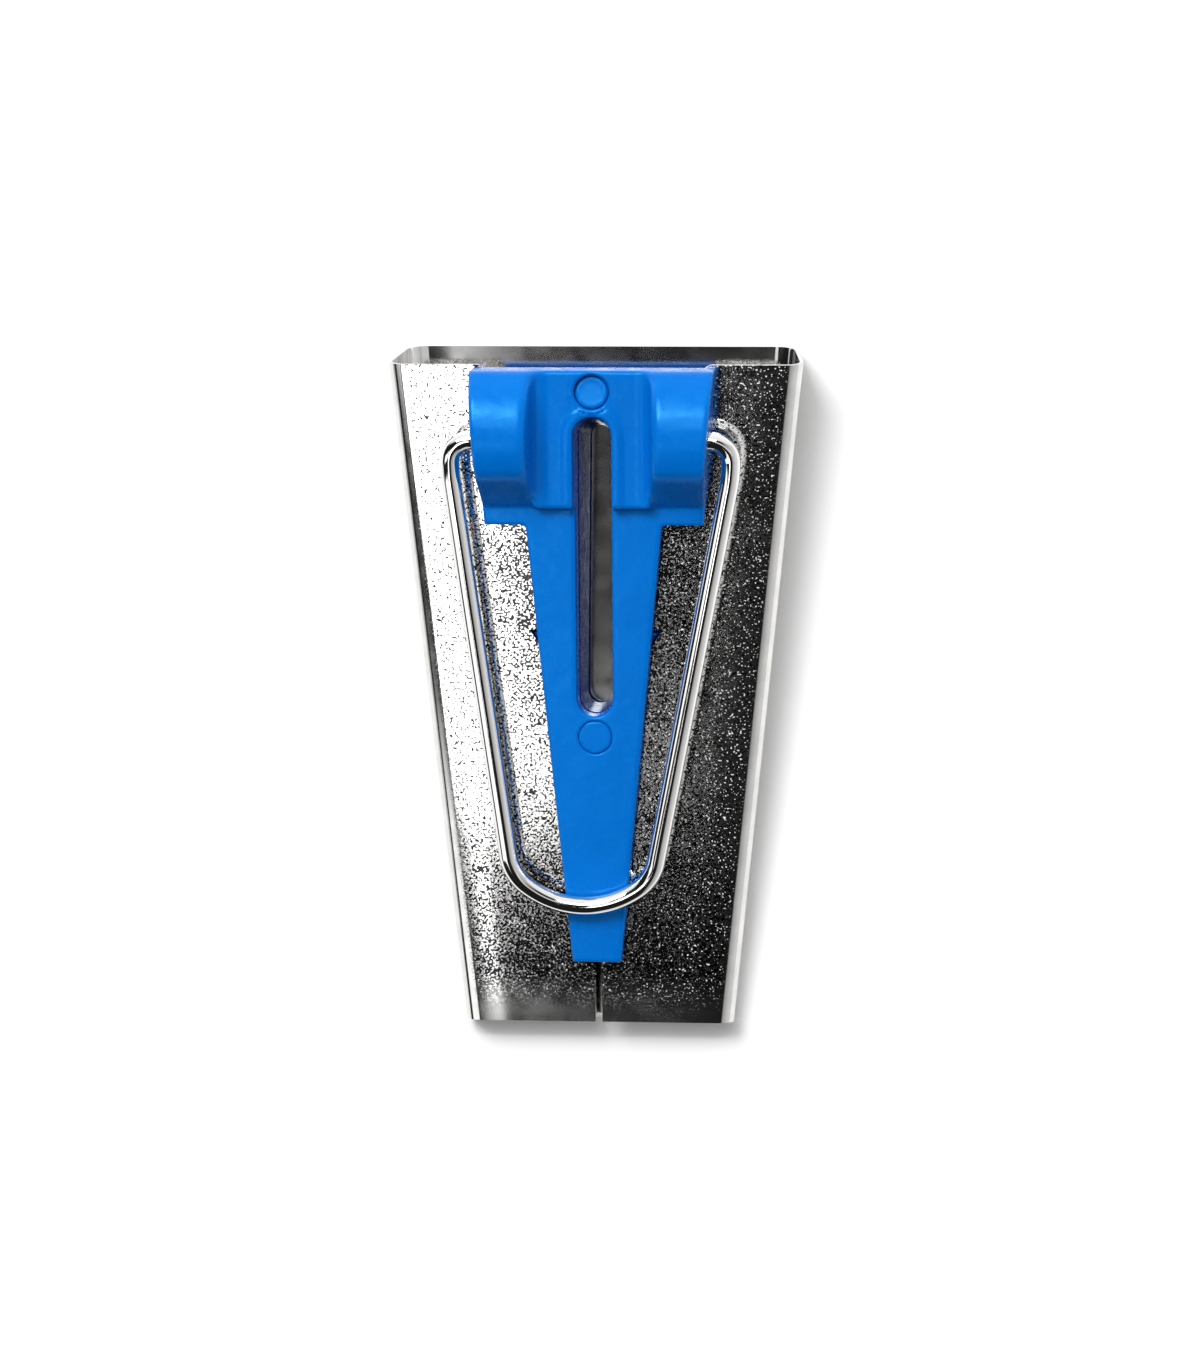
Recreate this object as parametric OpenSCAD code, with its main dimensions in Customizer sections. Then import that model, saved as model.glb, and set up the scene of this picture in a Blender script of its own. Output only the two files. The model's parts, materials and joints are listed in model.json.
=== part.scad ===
// Bias tape maker for 25 mm tape: a folded sheet-metal channel, a plastic guide in two pieces and a wire handle.
// +Y points to the wide mouth, +Z points up, and the origin is under the middle of the base.

/* [Shell] */
// Length of the base plate, from the narrow exit to the wide mouth
shell_length = 65.4; // [62:0.1:70]
// Outside width across the folds at the wide mouth
wide_width = 39.9; // [37:0.1:42]
// Outside width across the folds at the narrow exit
narrow_width = 26.1; // [24:0.1:28]
// Outside height at the wide mouth
wide_height = 8.8; // [8.2:0.1:9.5]
// Outside height at the narrow exit
narrow_height = 3.2; // [3:0.1:3.8]
// Thickness of the sheet metal
sheet = 0.35; // [0.3:0.05:0.5]
// Outside radius of the fold along each top edge
fold_radius = 1.5; // [1:0.1:1.6]
// Outside radius of the bottom corners at the wide mouth
wide_corner = 2.4; // [1.5:0.1:3]
// Outside radius of the bottom corners at the narrow exit
narrow_corner = 1.3; // [0.8:0.1:1.3]
// Outward lean of the side walls at the wide mouth, in degrees
wide_lean = 9; // [4:1:14]
// Outward lean of the side walls at the narrow exit, in degrees
narrow_lean = 2; // [0:1:5]
// How far the base reaches past the flaps at the wide mouth
base_lip = 1.6; // [0.5:0.1:2]

/* [Flap edges] */
// Half gap between the flaps under the head
head_gap = 10.3; // [9.8:0.1:10.6]
// Half gap between the flaps just in front of the head
front_gap = 5.3; // [5:0.1:5.6]
// Half gap between the flaps where the taper ends
end_gap = 1.3; // [1:0.1:1.6]
// Width of the slit between the flaps at the narrow exit
slit_width = 0.66; // [0.4:0.02:0.9]
// Length of the slit
slit_length = 5.5; // [4:0.1:6]
// Distance along the flaps to the square side of each notch
notch_rear = 5.7; // [5:0.1:7]
// Half width from notch tip to notch tip
notch_tip = 6.4; // [6.2:0.1:7]
// Length of each notch along the flap
notch_length = 3.5; // [3:0.1:4]

/* [Head] */
// Distance along the flaps to the rear edge of the head
head_rear = 31; // [30.8:0.1:31.1]
// Distance along the flaps to the front faces of the bosses
head_front = 17.8; // [17:0.1:19]
// Distance along the flaps to the front edges of the wings
wing_front = 16.1; // [15.5:0.1:16.5]
// Half width of the head at its rear edge
head_rear_half = 11.6; // [11.4:0.05:11.8]
// Half width of the wings at their front edge
wing_half = 10.45; // [10:0.05:10.8]
// Thickness of the head's plate above the flaps
head_thickness = 3; // [2.6:0.1:3.2]
// Half distance between the inner faces of the two bosses
boss_inner_half = 5.5; // [5:0.1:6]
// Height of each boss above the head's plate
boss_rise = 3.8; // [3.4:0.1:4.2]
// Distance along the flaps taken by the sloping front of each boss
boss_front_run = 3.4; // [2:0.1:4.5]
// Height of the raised rim round the slot
rim_rise = 0.15; // [0.1:0.05:0.3]
// Width of the raised rim round the slot
rim_width = 0.95; // [0.6:0.05:1.1]

/* [Tongue] */
// Thickness of the tongue above the flaps
tongue_thickness = 1.8; // [1.5:0.1:1.9]
// Half width of the tongue where it leaves the head
tongue_root_half = 6.5; // [6:0.1:7]
// Half width of the tongue at its narrow end
tongue_end_half = 2.35; // [2.1:0.05:2.6]
// Distance along the flaps to the narrow end of the tongue, towards the exit
tongue_end = 26.5; // [26:0.1:27]

/* [Slot] */
// Distance along the flaps to the rear end of the slot
slot_rear = 26.65; // [25.5:0.05:26.8]
// Distance along the flaps to the front end of the slot, towards the exit
slot_front = 2.45; // [1.5:0.05:2.5]
// Width of the slot at the top
slot_width = 3.7; // [3:0.1:3.9]
// Width of the slot at its foot
slot_foot_width = 1.7; // [1.2:0.1:2.2]

/* [Inner guide] */
// Gap between the guide's underside and the base plate
tape_gap = 0.8; // [0.6:0.1:1]
// Gap between the guide and the side walls and flaps
side_gap = 0.9; // [0.7:0.1:1.1]
// Distance from the middle to the rear face of the guide's broad foot
foot_rear = 27.3; // [26:0.1:28]
// Distance from the middle to the front face of the guide's broad foot, towards the exit
foot_front = 21; // [18:0.5:23]
// Diameter of the two studs that join the guide to the top plate
stud_d = 3.2; // [3:0.1:3.4]
// Distance along the flaps to the rear stud
rear_stud = 28.95; // [28.5:0.05:29.2]
// Distance along the flaps to the front stud, towards the exit
front_stud = 4.4; // [4.3:0.05:5.5]

/* [Handle] */
// Diameter of the handle's wire
wire_d = 1.8; // [1.6:0.1:1.9]
// Distance from the mouth end of the base to the handle's pivot
pivot_inset = 8.6; // [8.4:0.1:9.2]
// Height of the handle's pivot above the table
pivot_z = 12.8; // [12.6:0.1:13]
// Distance from the pivot to the middle of the wire at the toe
handle_reach = 45.3; // [43:0.1:46]
// Half distance between the legs beside the bosses
shoulder_half = 13.3; // [13.2:0.1:14]
// Half distance between the legs where the toe's bend begins
toe_half = 6.8; // [6:0.1:8]
// Drop of the loop towards the toe, in degrees
handle_drop = 7.2; // [6.9:0.1:7.2]
// Sideways skew of the loop, in degrees
handle_skew = 1.7; // [0:0.1:2]
// Radial clearance of the handle's ends in the bosses
pin_clearance = 0.07; // [0.03:0.01:0.1]

/* [Hidden] */
tiny = 0.01;
far = 60;

// Planes and heights
base_y = shell_length / 2;
flap_y = base_y - base_lip;
flap_slope = atan((wide_height - narrow_height) / shell_length);
middle_height = (wide_height + narrow_height) / 2;
pivot_y = base_y - pivot_inset;

// Half gap between the flap edges, against distance along the shell
tip_radius = 1;
gap_stations = [
    [-base_y, slit_width / 2],
    [slit_length - base_y, slit_width / 2],
    [slit_length - base_y + end_gap - slit_width / 2, end_gap],
    [wing_front, front_gap],
    [wing_front + 2.5, head_gap - 0.3],
    [flap_y - tip_radius, head_gap],
    [flap_y - 0.4 * tip_radius, head_gap + 0.2 * tip_radius],
    [flap_y - 0.1 * tip_radius, head_gap + 0.55 * tip_radius],
    [flap_y, head_gap + tip_radius]
];
stations = [for (s = gap_stations) s[0]];

// Share of the way from the narrow exit to the wide mouth
function share(y) = (y + base_y) / shell_length;
function between(a, b, y) = a + (b - a) * share(y);
function outer_half(y) = between(narrow_width, wide_width, y) / 2;
function flap_height(y) = between(narrow_height, wide_height, y);
function lean(y) = between(narrow_lean, wide_lean, y);
function corner(y) = between(narrow_corner, wide_corner, y);

// Centres of the fold and of the bottom corner in the cross-section at y
function fold_x(y) = outer_half(y) - fold_radius;
function corner_x(y) =
    fold_x(y)
    - ((flap_height(y) - fold_radius - corner(y)) * sin(lean(y)) - (fold_radius - corner(y))) / cos(lean(y));

// One side of the cross-section at y, from the base to the flap's edge, inset into the sheet
corner_steps = 7;
fold_steps = 9;
function corner_arc(y, inset) = [
    for (i = [0:corner_steps])
        let (a = -90 + (90 - lean(y)) * i / corner_steps)
        [corner_x(y) + (corner(y) - inset) * cos(a), corner(y) + (corner(y) - inset) * sin(a)]
];
function fold_arc(y, inset) = [
    for (i = [0:fold_steps])
        let (a = -lean(y) + (90 + lean(y)) * i / fold_steps)
        [
            fold_x(y) + (fold_radius - inset) * cos(a),
            flap_height(y) - fold_radius + (fold_radius - inset) * sin(a)
        ]
];
function side_line(y, inset, gap) = concat(
    corner_arc(y, inset),
    fold_arc(y, inset),
    [[gap, flap_height(y) - inset]]
);
function turned(line) = [for (i = [len(line) - 1:-1:0]) [-line[i][0], line[i][1]]];
function whole_line(y, inset, gap) = concat(turned(side_line(y, inset, gap)), side_line(y, inset, gap));
line_count = 2 * (corner_steps + fold_steps + 3);

// At the mouth the walls slant back from the flaps to the base's lip
function slanted(y, i, inset, gap) =
    let (
        z = whole_line(y, inset, gap)[i][1],
        real_y = y + (y >= flap_y - tiny ? base_lip * (1 - z / flap_height(y)) : 0),
        point = whole_line(real_y, inset, gap)[i]
    )
    [point[0], real_y, point[1]];
function ring(s) = [
    for (inset = [0, sheet])
        for (i = [0:line_count - 1])
            slanted(gap_stations[s][0], i, inset, gap_stations[s][1])
];

// Index of a point: station s, side 0 outside or 1 inside, place i along the line
function at(s, side, i) = (2 * s + side) * line_count + i;
function quad(a, b, c, d) = [[a, b, c], [a, c, d]];

module folded_sheet() {
    last = len(stations) - 1;
    points = [for (s = [0:last]) each ring(s)];
    outside = [
        for (s = [0:last - 1])
            for (i = [0:line_count - 2])
                each quad(at(s, 0, i), at(s, 0, i + 1), at(s + 1, 0, i + 1), at(s + 1, 0, i))
    ];
    inside = [
        for (s = [0:last - 1])
            for (i = [0:line_count - 2])
                each quad(at(s, 1, i), at(s + 1, 1, i), at(s + 1, 1, i + 1), at(s, 1, i + 1))
    ];
    flap_edges = [
        for (s = [0:last - 1])
            for (e = [[0, 1], [line_count - 1, 0]])
                each quad(at(s, e[1], e[0]), at(s, 1 - e[1], e[0]), at(s + 1, 1 - e[1], e[0]), at(s + 1, e[1], e[0]))
    ];
    exit_edge = [
        for (i = [0:line_count - 2])
            each quad(at(0, 1, i), at(0, 1, i + 1), at(0, 0, i + 1), at(0, 0, i))
    ];
    mouth_edge = [
        for (i = [0:line_count - 2])
            each quad(at(last, 0, i), at(last, 0, i + 1), at(last, 1, i + 1), at(last, 1, i))
    ];
    polyhedron(points, concat(outside, inside, flap_edges, exit_edge, mouth_edge));
}

// Places children on the sloping plane of the flaps: x across, y along, z above the flaps
module on_flaps() {
    translate([0, 0, middle_height]) rotate([flap_slope, 0, 0]) children();
}

// A symmetric outline from its right-hand points
module mirrored_outline(points) {
    polygon(concat(points, [for (i = [len(points) - 1:-1:0]) [-points[i][0], points[i][1]]]));
}

// The triangle of one notch, shrunk by a margin on its three sides
module notch_outline(margin) {
    front = notch_rear - notch_length;
    polygon([
        [front_gap - 2, notch_rear - margin],
        [notch_tip - margin, notch_rear - margin],
        [lookup(front, gap_stations) - margin, front + margin],
        [front_gap - 2, front + margin]
    ]);
}

module both_sides() {
    children();
    mirror([1, 0, 0]) children();
}

// The slot's drafted opening, wider at the top, with a sloping rear wall
slot_depth = 8.2;
slot_rear_slope = 2.3;
module slot_opening() {
    top = head_thickness + rim_rise + tiny;
    hull() {
        for (y = [slot_rear - slot_width / 2, slot_width / 2 - slot_front])
            translate([0, y, top]) cylinder(d = slot_width, h = 1, $fn = 32);
        for (y = [slot_rear - slot_rear_slope - slot_foot_width / 2, slot_foot_width / 2 + 0.5 - slot_front])
            translate([0, y, -slot_depth]) cylinder(d = slot_foot_width, h = tiny, $fn = 32);
    }
}

// Sheet-metal channel with two flaps, tapering from the mouth to the exit
module shell() {
    color("silver")
    difference() {
        folded_sheet();
        on_flaps() both_sides() translate([0, 0, -1]) linear_extrude(2) notch_outline(0);
    }
}

function head_half(y) = wing_half + (head_rear_half - wing_half) * (y - wing_front) / (head_rear - wing_front);

// Between the bosses the head reaches forward to their feet
plate_front = head_front + 1.2;
module head_outline() {
    mirrored_outline([
        [boss_inner_half, head_front],
        [boss_inner_half, plate_front],
        [head_half(plate_front), plate_front],
        [head_rear_half, head_rear]
    ]);
}

// One boss, a low drum lying across the head, cut square at the rear and by a slope at the front
boss_middle = (head_front + head_rear) / 2;
boss_chord = head_rear - head_front + 0.6;
boss_radius = (boss_chord * boss_chord / 4 + boss_rise * boss_rise) / (2 * boss_rise);
boss_top = head_thickness + boss_rise;
slope_top = boss_top - boss_radius + sqrt(pow(boss_radius, 2) - pow(boss_middle - head_front - boss_front_run, 2));
module boss_block() {
    intersection() {
        translate([0, boss_middle, boss_top - boss_radius])
            rotate([0, 90, 0]) cylinder(r = boss_radius, h = far, center = true, $fn = 96);
        linear_extrude(boss_top + 1)
            polygon([
                [boss_inner_half, head_front],
                [head_half(head_front), head_front],
                [head_rear_half, head_rear],
                [boss_inner_half, head_rear]
            ]);
        rotate([90, 0, 90]) linear_extrude(far)
            polygon([
                [head_front - 1, 0],
                [head_front - 1, tongue_thickness],
                [head_front, tongue_thickness],
                [head_front + boss_front_run, slope_top],
                [head_front + boss_front_run, boss_top + 2],
                [head_rear + 1, boss_top + 2],
                [head_rear + 1, 0]
            ]);
    }
}

// Blind bore for one end of the handle, in the right-hand boss; the wire's ends are dressed slightly thinner
pin_r = wire_d / 2 - 0.02;
bore_r = pin_r + pin_clearance;
bore_end = boss_inner_half + 0.9;
pin_end = bore_end + 0.3;
module pin_bore() {
    translate([bore_end, pivot_y, pivot_z]) rotate([0, 90, 0]) cylinder(r = bore_r, h = far, $fn = 64);
}

// Upper piece of the plastic guide: head with two bosses, wings and tongue
stud_hole_d = stud_d + 0.1;
module top_plate() {
    color("#0072CE")
    difference() {
        on_flaps() difference() {
            union() {
                linear_extrude(head_thickness) head_outline();
                linear_extrude(tongue_thickness)
                    mirrored_outline([
                        [tongue_end_half, -tongue_end],
                        [tongue_root_half, wing_front],
                        [wing_half, wing_front],
                        [head_half(head_front + 1), head_front + 1]
                    ]);
                both_sides() boss_block();
                linear_extrude(head_thickness + rim_rise)
                    translate([-slot_width / 2 - rim_width, head_front])
                    square([slot_width + 2 * rim_width, slot_rear + rim_width - head_front]);
            }
            slot_opening();
            for (y = [rear_stud, -front_stud])
                translate([0, y, -1]) cylinder(d = stud_hole_d, h = head_thickness + 2, $fn = 64);
        }
        both_sides() pin_bore();
    }
}

// Half width of the guide's broad foot, clear of the walls' rounded corners
function foot_half(y) = corner_x(y) + 0.55 * corner(y) - side_gap + 0.2;
function foot_top(y) = flap_height(y) - sheet - side_gap;
foot_bottom = sheet + tape_gap;
web_margin = 0.15;
web_depth = 1.9;
web_rear = 30.7;

module guide_foot() {
    intersection() {
        rotate([90, 0, 90]) translate([0, 0, -far / 2]) linear_extrude(far)
            polygon([
                [-foot_front, foot_bottom],
                [foot_rear, foot_bottom],
                [foot_rear, foot_top(foot_rear)],
                [-foot_front, foot_top(-foot_front)]
            ]);
        linear_extrude(wide_height)
            mirrored_outline([[foot_half(-foot_front), -foot_front], [foot_half(foot_rear), foot_rear]]);
    }
}

// Web that rises from the foot through the gap between the flaps
module guide_web() {
    web_stations = [0.3 - tongue_end, wing_front, wing_front + 2.5, web_rear];
    translate([0, 0, -web_depth]) linear_extrude(web_depth)
        mirrored_outline([for (y = web_stations) [lookup(y, gap_stations) - web_margin, y]]);
}

// Lower piece of the plastic guide: the tape folds round its foot
module inner_guide() {
    color("#00398C")
    difference() {
        union() {
            guide_foot();
            on_flaps() {
                guide_web();
                both_sides() translate([0, 0, -0.9]) linear_extrude(0.85) notch_outline(0.15);
                translate([0, rear_stud, -1]) cylinder(d = stud_d, h = head_thickness + 0.6, $fn = 64);
                translate([0, -front_stud, -1]) cylinder(d = stud_d, h = tongue_thickness + 0.95, $fn = 64);
            }
        }
        on_flaps() slot_opening();
    }
}

// A flat wire path is a list of points with a bend radius at each one between its two ends
function heading(path, i) = (path[i + 1] - path[i]) / norm(path[i + 1] - path[i]);
function turn(path, i) = acos(heading(path, i - 1) * heading(path, i));
function facing(along) = atan2(along[1], along[0]);

// Stations along a path, each a point and the angle that the wire faces there
function bend_stations(path, bends, i, steps) =
    let (
        along = heading(path, i - 1),
        start = path[i] - along * bends[i] * tan(turn(path, i) / 2),
        centre = start + bends[i] * [-along[1], along[0]]
    )
    [
        for (k = [0:steps])
            let (angle = facing(along) + turn(path, i) * k / steps)
            [centre + bends[i] * [sin(angle), -cos(angle)], angle]
    ];
function wire_stations(path, bends, steps) =
    let (last = len(path) - 1)
    concat(
        [[path[0], facing(heading(path, 0))]],
        [for (i = [1:last - 1]) each bend_stations(path, bends, i, steps)],
        [[path[last], facing(heading(path, last - 1))]]
    );

// A round wire swept along its stations
module swept_wire(line, r, sides) {
    last = len(line) - 1;
    points = [
        for (s = line)
            for (k = [0:sides - 1])
                let (a = 360 * k / sides)
                [s[0][0] + r * cos(a) * sin(s[1]), s[0][1] - r * cos(a) * cos(s[1]), r * sin(a)]
    ];
    skin = [
        for (i = [0:last - 1])
            for (k = [0:sides - 1])
                let (n = (k + 1) % sides)
                each quad(i * sides + k, i * sides + n, (i + 1) * sides + n, (i + 1) * sides + k)
    ];
    ends = [
        [for (k = [sides - 1:-1:0]) k],
        [for (k = [0:sides - 1]) last * sides + k]
    ];
    polyhedron(points, concat(skin, ends));
}

// Flat path of the handle's wire, from one boss round the toe to the other, with the pivot at zero
shoulder_bend = 2;
leg_bend = 14;
toe_corner_bend = 4.5;
toe_bend = 8.9;
toe_slope = 34;
leg_start = 3.2;
wire_start = shoulder_half - shoulder_bend - 0.5;
function skewed(p) = [
    p[0] * cos(handle_skew) + p[1] * sin(handle_skew),
    p[1] * cos(handle_skew) - p[0] * sin(handle_skew)
];
toe_vertex = handle_reach + toe_bend * (1 / cos(toe_slope) - 1);
toe_corner = toe_vertex - toe_half * tan(toe_slope);
function side_path(side) = [
    [side * wire_start, 0],
    [side * shoulder_half, 0],
    [side * shoulder_half, -leg_start],
    skewed([side * toe_half, -toe_corner])
];
function reversed(list) = [for (i = [len(list) - 1:-1:0]) list[i]];
side_bends = [0, shoulder_bend, leg_bend, toe_corner_bend];
handle_path = concat(side_path(-1), [skewed([0, -toe_vertex])], reversed(side_path(1)));
handle_bends = concat(side_bends, [toe_bend], reversed(side_bends));

// Wire handle, hinged in the bosses and folded down over the tongue
module handle() {
    color("gainsboro")
    translate([0, pivot_y, pivot_z]) {
        rotate([handle_drop, 0, 0]) swept_wire(wire_stations(handle_path, handle_bends, 8), wire_d / 2, 20);
        both_sides() translate([pin_end, 0, 0])
            rotate([0, 90, 0]) cylinder(r = pin_r, h = wire_start + 0.5 - pin_end, $fn = 64);
    }
}

shell();
top_plate();
inner_guide();
handle();
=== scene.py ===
import json
import math

import bpy
import numpy as np
from mathutils import Matrix, Vector


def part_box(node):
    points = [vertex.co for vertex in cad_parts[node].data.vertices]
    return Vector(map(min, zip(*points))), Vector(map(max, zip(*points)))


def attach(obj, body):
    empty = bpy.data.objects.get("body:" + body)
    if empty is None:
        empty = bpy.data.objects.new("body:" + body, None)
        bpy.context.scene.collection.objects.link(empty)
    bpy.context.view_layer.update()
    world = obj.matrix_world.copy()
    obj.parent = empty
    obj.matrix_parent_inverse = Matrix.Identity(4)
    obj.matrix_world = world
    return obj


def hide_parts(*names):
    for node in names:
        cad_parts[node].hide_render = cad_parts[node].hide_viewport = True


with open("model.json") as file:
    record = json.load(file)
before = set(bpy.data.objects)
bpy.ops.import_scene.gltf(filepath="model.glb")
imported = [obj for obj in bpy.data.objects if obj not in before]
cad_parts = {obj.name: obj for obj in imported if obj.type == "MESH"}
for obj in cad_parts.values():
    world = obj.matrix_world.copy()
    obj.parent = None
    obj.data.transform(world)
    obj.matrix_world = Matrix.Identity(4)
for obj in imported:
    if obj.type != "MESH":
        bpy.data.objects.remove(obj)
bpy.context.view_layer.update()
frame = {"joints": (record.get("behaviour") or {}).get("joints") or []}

MM = 0.001


# ---------------------------------------------------------------------------
# Driving dimensions, in millimetres. The shell's length and the handle's pivot come from the frame.
# ---------------------------------------------------------------------------
BASE_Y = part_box("shell")[1].y / MM
hinge = frame["joints"][0]
PIVOT_Y = hinge["pos_m"][1] / MM
PIVOT_Z = hinge["pos_m"][2] / MM

NARROW_HALF, WIDE_HALF = 13.05, 19.94
NARROW_HEIGHT, WIDE_HEIGHT = 3.2, 8.8
NARROW_CORNER, WIDE_CORNER = 1.3, 2.4
NARROW_LEAN, WIDE_LEAN = math.radians(2), math.radians(9)
SHEET = 0.35
FOLD_R = 1.5
CROWN, CROWN_RUN = math.radians(2), 3.0
LIP = 1.6
FLAP_Y = BASE_Y - LIP
LENGTH = 2 * BASE_Y
SLOPE = math.atan((WIDE_HEIGHT - NARROW_HEIGHT) / LENGTH)
MIDDLE_Z = (WIDE_HEIGHT + NARROW_HEIGHT) / 2

# Half gap between the flap edges at stations along the shell
SLIT_HALF, SLIT_LENGTH, END_GAP = 0.33, 5.5, 1.3
FRONT_GAP, HEAD_GAP, TIP_R = 5.3, 10.3, 1.0
WING_FRONT = 16.1
FLARE_END = WING_FRONT + 2.5
NOTCH_REAR, NOTCH_TIP, NOTCH_LENGTH = 5.7, 6.4, 3.5

HEAD_REAR, HEAD_FRONT = 31.0, 17.8
HEAD_REAR_HALF, WING_HALF = 11.6, 10.45
HEAD_THICK, TONGUE_THICK = 3.0, 1.8
BOSS_INNER, BOSS_RISE = 5.5, 3.8
RIM_RISE, RIM_WIDTH = 0.15, 0.95
TONGUE_ROOT, TONGUE_TIP, TONGUE_END = 6.5, 2.35, -26.5
SLOT_REAR, SLOT_FRONT, SLOT_HALF, SLOT_FOOT_HALF = 26.65, -2.45, 1.85, 0.85
SLOT_DEPTH, SLOT_REAR_SLOPE, SLOT_FRONT_SLOPE = 8.2, 2.3, 0.5
STUD_R, STUD_REAR, STUD_FRONT = 1.6, 28.95, -4.4
PIN_R, BORE_R, WIRE_R = 0.88, 0.95, 0.9
BORE_END = BOSS_INNER + 0.9
PIN_END = BORE_END + 0.3
BOSS_FRONT_RUN, BOSS_OVERRUN, BOSS_DRAFT = 3.4, 0.6, 0.12
# Keeps the bosses' crowns just inside the CAD box
CROWN_SPARE = 0.004
RING_OUT, RING_HALF = 0.5, 0.05
REAR_STUD_LEAN, REAR_HOLE_PLAY, FRONT_HOLE_PLAY = 0.22, 0.04, 0.02
FOOT_FRONT, FOOT_REAR, FOOT_UNDER = -21, 27.3, 1.15
WEB_REAR, WEB_DEPTH = 30.7, 1.9


# ---------------------------------------------------------------------------
# Mesh helpers
# ---------------------------------------------------------------------------
def make_object(name, points, faces, material, smooth_angle=math.radians(40)):
    """A mesh object from millimetre points, shaded smooth with creases past smooth_angle."""
    mesh = bpy.data.meshes.new(name)
    corners = [tuple(p) for p in np.asarray(points, float) * MM]
    mesh.from_pydata(corners, [], [list(map(int, f)) for f in faces])
    mesh.validate()
    mesh.materials.append(material)
    obj = bpy.data.objects.new(name, mesh)
    bpy.context.scene.collection.objects.link(obj)
    mesh.shade_smooth()
    if smooth_angle is not None:
        mesh.set_sharp_from_angle(angle=smooth_angle)
    return obj


def from_flaps(points):
    """Turns points given on the flaps' sloping plane (x across, y along, z above it) into the row frame."""
    points = np.asarray(points, float)
    c, s = math.cos(SLOPE), math.sin(SLOPE)
    return np.stack([
        points[:, 0],
        points[:, 1] * c - points[:, 2] * s,
        MIDDLE_Z + points[:, 1] * s + points[:, 2] * c,
    ], axis=1)


def to_flaps(y, z):
    """A row-frame (y, z) as (along, above) on the flaps' sloping plane."""
    c, s = math.cos(SLOPE), math.sin(SLOPE)
    return y * c + (z - MIDDLE_Z) * s, (z - MIDDLE_Z) * c - y * s


def surface_net(field, low, high, step):
    """Meshes the zero surface of field(x, y, z), negative inside, by naive surface nets, and settles each
    vertex on the surface. Returns points and outward quads."""
    axes = [np.arange(low[k], high[k] + step, step) for k in range(3)]
    grid = np.meshgrid(*axes, indexing="ij")
    f = field(*grid).astype(np.float32)
    n = np.array(f.shape) - 1
    inside = f < 0
    total = np.zeros((*n, 3), np.float32)
    count = np.zeros(n, np.float32)
    corner = [(slice(0, -1), slice(1, None))] * 3
    for axis in range(3):
        others = [k for k in range(3) if k != axis]
        for a in (0, 1):
            for b in (0, 1):
                first, second, offset = [None] * 3, [None] * 3, np.zeros(3)
                first[axis], second[axis] = corner[axis]
                for k, side in zip(others, (a, b)):
                    first[k] = second[k] = corner[k][side]
                    offset[k] = side
                f0, f1 = f[tuple(first)], f[tuple(second)]
                crossed = inside[tuple(first)] != inside[tuple(second)]
                t = np.where(crossed, f0 / np.where(crossed, f0 - f1, 1), 0)
                count += crossed
                for k in range(3):
                    total[..., k] += crossed * (t if k == axis else offset[k])
    active = count > 0
    index = -np.ones(n, np.int64)
    index[active] = np.arange(active.sum())
    place = np.argwhere(active) + total[active] / count[active][:, None]
    points = np.array(low) + place * step
    quads = []
    for axis in range(3):
        u, v = [(1, 2), (2, 0), (0, 1)][axis]
        first, second = [slice(1, -1)] * 3, [slice(1, -1)] * 3
        first[axis], second[axis] = slice(0, -1), slice(1, None)
        a_in, b_in = inside[tuple(first)], inside[tuple(second)]
        for forward in (True, False):
            found = np.argwhere((a_in & ~b_in) if forward else (~a_in & b_in))
            start = found + 1
            start[:, axis] -= 1
            ring = []
            for du, dv in ((-1, -1), (0, -1), (0, 0), (-1, 0)):
                cell = start.copy()
                cell[:, u] += du
                cell[:, v] += dv
                ring.append(index[tuple(cell.T)])
            quads.append(np.stack(ring if forward else ring[::-1], axis=1))
    e = step * 0.05
    for _ in range(4):
        x, y, z = points.T
        value = field(x, y, z)
        slope = np.stack([
            field(x + e, y, z) - field(x - e, y, z),
            field(x, y + e, z) - field(x, y - e, z),
            field(x, y, z + e) - field(x, y, z - e),
        ], axis=1) / (2 * e)
        size = np.maximum((slope ** 2).sum(1), 0.2)
        move = np.clip(value / size, -0.4 * step, 0.4 * step)
        points = points - slope * move[:, None]
    return points, np.concatenate(quads)


# ---------------------------------------------------------------------------
# Solids as distance fields, in millimetres
# ---------------------------------------------------------------------------
def join(a, b, r=0.0):
    """Union of two fields, with a fillet of about radius r."""
    if r <= 0:
        return np.minimum(a, b)
    h = np.maximum(r - np.abs(a - b), 0) / r
    return np.minimum(a, b) - h * h * r / 4


def both(a, b, r=0.0):
    """Intersection of two fields, with an edge rounded to about radius r."""
    return -join(-a, -b, r)


def cut(a, b, r=0.0):
    """Field a less field b, with the rim rounded to about radius r."""
    return both(a, -b, r)


def slab(v, low, high):
    return np.maximum(low - v, v - high)


def taper(x, y, y0, half0, y1, half1):
    """Distance to the sides of a symmetric tapered strip with half widths half0 at y0 and half1 at y1."""
    slope = (half1 - half0) / (y1 - y0)
    return (np.abs(x) - half0 - slope * (y - y0)) / math.hypot(1, slope)


def slot_field(x, y, z, spare=0.0):
    """The drafted slot for the awl."""
    share = (HEAD_THICK + RIM_RISE - z) / (HEAD_THICK + RIM_RISE + SLOT_DEPTH)
    half = SLOT_HALF + (SLOT_FOOT_HALF - SLOT_HALF) * share + spare
    rear = SLOT_REAR - SLOT_HALF - share * (SLOT_REAR_SLOPE + SLOT_FOOT_HALF - SLOT_HALF)
    front = SLOT_FRONT + SLOT_HALF + share * (SLOT_FRONT_SLOPE + SLOT_FOOT_HALF - SLOT_HALF)
    past = np.maximum(np.maximum(y - rear, front - y), 0)
    return np.hypot(x, past) - half


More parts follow.
